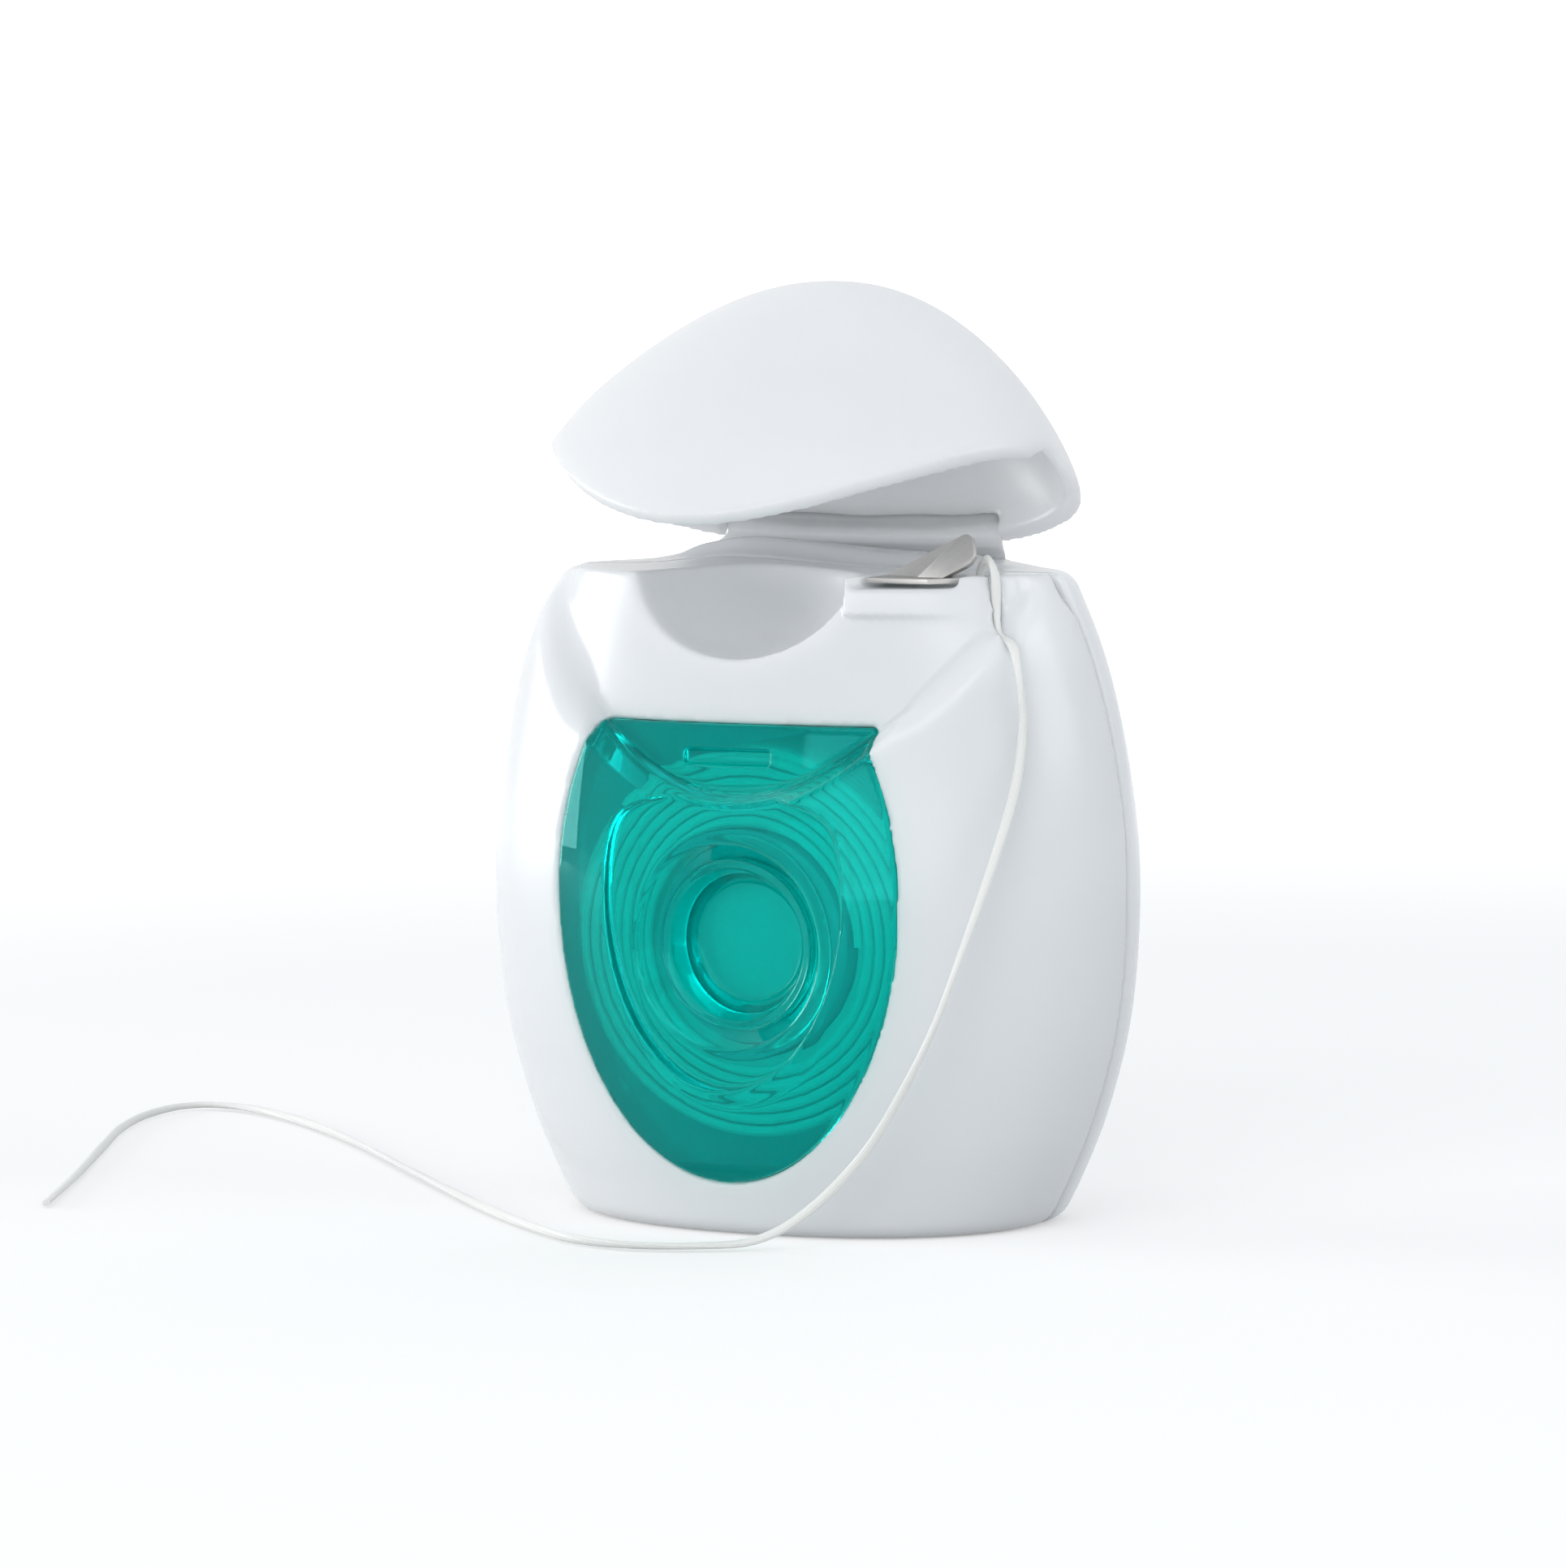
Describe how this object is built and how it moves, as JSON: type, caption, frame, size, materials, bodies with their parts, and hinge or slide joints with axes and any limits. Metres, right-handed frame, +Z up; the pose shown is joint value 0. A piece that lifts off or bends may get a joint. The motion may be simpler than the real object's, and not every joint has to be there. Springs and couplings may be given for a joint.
{
  "type": "dental floss dispenser",
  "caption": "Flip-top floss dispenser: bulging two-part shell with a clear window over the bobbin, steel cutter on the deck and a domed lid on a thin hinge.",
  "frame": {"origin": "middle of the flat base, half-way through the body's depth", "axes": "+Z up, -Y towards the window side, +X towards the cutter side"},
  "size_m": [0.0965, 0.0481, 0.0667],
  "materials": {
    "white_shell": "glossy white",
    "white_lid": "glossy white",
    "teal_window": "clear tinted",
    "steel": "dull",
    "bobbin_plastic": "matte",
    "floss": "waxed thread"
  },
  "bodies": {
    "housing": {"front_shell": "white_shell", "rear_shell": "white_shell", "window_insert": "teal_window", "cutter_plate": "steel", "living_hinge": "white_lid", "floss_lead": "floss", "floss_tail": "floss"},
    "lid_body": {"lid": "white_lid"},
    "bobbin": {"bobbin_core": "bobbin_plastic", "floss_pack": "floss", "floss_winding": "floss"}
  },
  "joints": [
    {"name": "lid_hinge", "type": "hinge", "parent": "housing", "child": "lid_body", "pos_m": [0, 0.0115, 0.0479], "axis": [-1, 0, 0], "range_deg": [-42, 68], "deforming": ["living_hinge"]},
    {"name": "bobbin_spin", "type": "hinge", "parent": "housing", "child": "bobbin", "pos_m": [0, 0.0029, 0.0205], "axis": [0, 1, 0], "continuous": true}
  ]
}
